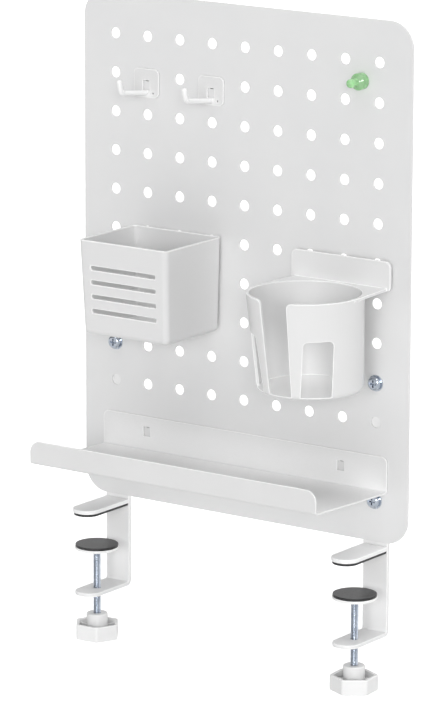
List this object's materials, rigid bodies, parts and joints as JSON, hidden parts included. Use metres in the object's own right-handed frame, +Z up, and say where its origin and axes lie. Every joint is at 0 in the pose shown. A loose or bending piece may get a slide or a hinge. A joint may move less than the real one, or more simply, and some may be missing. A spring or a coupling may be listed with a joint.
{
  "type": "desk pegboard organizer",
  "caption": "Upright white peg panel on a pair of desk clamps, with a pen box, a slotted cup holder, a long tray, hooks and a magnetic pin hung on it.",
  "frame": {"origin": "middle between the clamps, where the desk's top face meets its edge", "axes": "+Z up along the panel, -Y from the panel towards the person at the desk, +X to that person's right"},
  "size_m": [0.299, 0.1047, 0.5023],
  "materials": {
    "powder_coat": "satin white powder coat on sheet steel",
    "moulded_white": "smooth moulded white plastic",
    "black_rubber": "matt rubber",
    "zinc_steel": "bright blue zinc plating",
    "green_plastic": "clear green, glossy",
    "nickel_magnet": "nickel plated"
  },
  "bodies": {
    "clamped_board": {"pegboard_panel": "powder_coat", "left_clamp_frame": "powder_coat", "left_upper_jaw": "powder_coat", "left_jaw_pad": "black_rubber", "right_clamp_frame": "powder_coat", "right_upper_jaw": "powder_coat", "right_jaw_pad": "black_rubber", "panel_screws": "zinc_steel", "panel_washers": "zinc_steel", "panel_nuts": "zinc_steel"},
    "left_foot": {"left_pressure_disc": "powder_coat", "left_disc_pad": "black_rubber"},
    "left_spindle": {"left_clamp_screw": "zinc_steel", "left_knob": "moulded_white"},
    "right_foot": {"right_pressure_disc": "powder_coat", "right_disc_pad": "black_rubber"},
    "right_spindle": {"right_clamp_screw": "zinc_steel", "right_knob": "moulded_white"},
    "pen_box": {"pen_box": "moulded_white"},
    "cup_holder": {"cup_holder": "moulded_white"},
    "tray": {"tray": "powder_coat"},
    "left_hook": {"left_hook_plate": "powder_coat", "left_hook_rod": "powder_coat"},
    "right_hook": {"right_hook_plate": "powder_coat", "right_hook_rod": "powder_coat"},
    "push_pin": {"pin_cap": "green_plastic", "pin_magnet": "nickel_magnet"}
  },
  "joints": [
    {"name": "left_disc_travel", "type": "slide", "parent": "clamped_board", "child": "left_foot", "axis": [0, 0, 1], "range_m": [-0.028, 0.0168]},
    {"name": "left_knob_turn", "type": "hinge", "parent": "left_foot", "child": "left_spindle", "pos_m": [-0.12, -0.027, -0.028], "axis": [0, 0, 1], "range_deg": [-10116, 6084]},
    {"name": "right_disc_travel", "type": "slide", "parent": "clamped_board", "child": "right_foot", "axis": [0, 0, 1], "range_m": [-0.028, 0.0168]},
    {"name": "right_knob_turn", "type": "hinge", "parent": "right_foot", "child": "right_spindle", "pos_m": [0.12, -0.027, -0.028], "axis": [0, 0, 1], "range_deg": [-10116, 6084]},
    {"name": "pen_box_lift", "type": "slide", "parent": "clamped_board", "child": "pen_box", "axis": [0, 0, 1], "range_m": [0, 0.0042]},
    {"name": "cup_holder_lift", "type": "slide", "parent": "clamped_board", "child": "cup_holder", "axis": [0, 0, 1], "range_m": [0, 0.0042]},
    {"name": "tray_lift", "type": "slide", "parent": "clamped_board", "child": "tray", "axis": [0, 0, 1], "range_m": [0, 0.0045]},
    {"name": "left_hook_lift", "type": "slide", "parent": "clamped_board", "child": "left_hook", "axis": [0, 0, 1], "range_m": [0, 0.0045]},
    {"name": "right_hook_lift", "type": "slide", "parent": "clamped_board", "child": "right_hook", "axis": [0, 0, 1], "range_m": [0, 0.0045]},
    {"name": "pin_pull", "type": "slide", "parent": "clamped_board", "child": "push_pin", "axis": [0, -1, 0], "range_m": [0, 0.03]}
  ],
  "couplings": [
    {"joint": "left_knob_turn", "follows": "left_disc_travel", "rad_per_m": 6283.2},
    {"joint": "right_knob_turn", "follows": "right_disc_travel", "rad_per_m": 6283.2}
  ]
}
